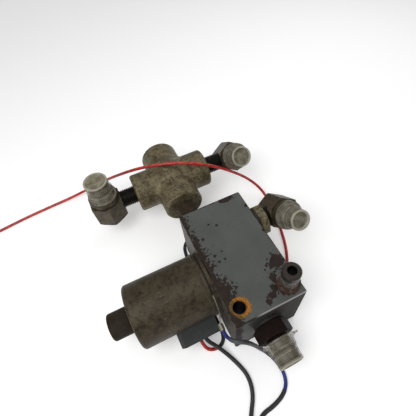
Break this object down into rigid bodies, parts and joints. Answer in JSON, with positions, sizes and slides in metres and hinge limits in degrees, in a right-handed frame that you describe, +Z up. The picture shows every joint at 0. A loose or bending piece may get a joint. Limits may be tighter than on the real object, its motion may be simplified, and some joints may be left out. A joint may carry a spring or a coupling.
{
  "type": "hydraulic solenoid valve",
  "caption": "Block-mounted hydraulic solenoid valve with a round solenoid, a straight adapter, a forged cross and capped elbow fittings.",
  "frame": {"origin": "middle of the block's mounting face", "axes": "+Z up from the mounting face, -Y to the end with the straight adapter, -X to the solenoid"},
  "size_m": [0.3013, 0.2898, 0.0783],
  "materials": {
    "block_paint": "satin grey-green paint over steel, worn to brown at the edges",
    "coil_coat": "dull olive-brown coat with scratches",
    "seal_rubber": "matt black",
    "bobbin_plastic": "moulded",
    "winding": "enamelled copper wire",
    "plain_steel": "ground",
    "nut_plastic": "dark brown, dull",
    "box_paint": "satin grey paint",
    "potting": "cast black compound",
    "tinned": "tinned sheet",
    "screw_steel": "grey-brown, some rust",
    "adapter_coat": "dark maroon-brown coat",
    "cap_plastic": "translucent off-white",
    "pipe_steel": "black oxide",
    "cross_iron": "cast, olive-brown",
    "elbow_steel": "forged, dark",
    "red_insulation": "smooth",
    "connector_plastic": "moulded",
    "black_insulation": "ribbed sleeve",
    "blue_insulation": "smooth",
    "plug_plastic": "moulded"
  },
  "bodies": {
    "valve": {"valve_block": "block_paint", "coil_end_plate": "coil_coat", "coil_gasket": "seal_rubber", "coil_housing": "coil_coat", "coil_bobbin": "bobbin_plastic", "coil_winding": "winding", "guide_tube": "plain_steel", "pole_piece": "plain_steel", "nut_seal": "seal_rubber", "coil_nut": "nut_plastic", "cartridge_body": "plain_steel", "cartridge_seals": "seal_rubber", "spring_seat": "plain_steel", "junction_box": "box_paint", "box_potting": "potting", "ground_terminal": "tinned", "mounting_screw": "screw_steel", "spring_washer": "screw_steel", "spacer_sleeve": "screw_steel", "plain_washers": "screw_steel", "near_adapter": "adapter_coat", "near_adapter_seal": "seal_rubber", "cross_nipple": "pipe_steel", "cross_fitting": "cross_iron", "cross_plug": "pipe_steel", "left_nipple": "pipe_steel", "left_elbow": "elbow_steel", "right_nipple": "pipe_steel", "right_elbow": "elbow_steel", "side_seal": "seal_rubber", "side_lock_nut": "pipe_steel", "side_nipple": "pipe_steel", "side_elbow": "elbow_steel", "red_lead": "red_insulation", "red_connector": "connector_plastic", "black_lead": "black_insulation", "blue_lead": "blue_insulation", "lead_plug": "plug_plastic", "return_spring": "plain_steel"},
    "armature": {"armature": "plain_steel", "push_pin": "plain_steel"},
    "spool": {"spool": "plain_steel"},
    "near_cap": {"near_cap": "cap_plastic"},
    "left_cap": {"left_cap": "cap_plastic"},
    "right_cap": {"right_cap": "cap_plastic"},
    "side_cap": {"side_cap": "cap_plastic"}
  },
  "joints": [
    {"name": "armature_slide", "type": "slide", "parent": "valve", "child": "armature", "axis": [1, 0, 0], "range_m": [0, 0.0025], "stiffness_N_per_m": 2000, "springref_m": -0.004},
    {"name": "spool_slide", "type": "slide", "parent": "valve", "child": "spool", "axis": [1, 0, 0], "range_m": [0, 0.0025], "deforming": ["return_spring"]},
    {"name": "near_cap_pull", "type": "slide", "parent": "valve", "child": "near_cap", "axis": [0, -1, 0], "range_m": [0, 0.03]},
    {"name": "left_cap_pull", "type": "slide", "parent": "valve", "child": "left_cap", "axis": [0, 0, 1], "range_m": [0, 0.03]},
    {"name": "right_cap_pull", "type": "slide", "parent": "valve", "child": "right_cap", "axis": [0, -0.7547, 0.6561], "range_m": [0, 0.03]},
    {"name": "side_cap_pull", "type": "slide", "parent": "valve", "child": "side_cap", "axis": [0, -0.788, 0.6157], "range_m": [0, 0.03]}
  ],
  "couplings": [
    {"joint": "spool_slide", "follows": "armature_slide", "ratio": 1}
  ]
}
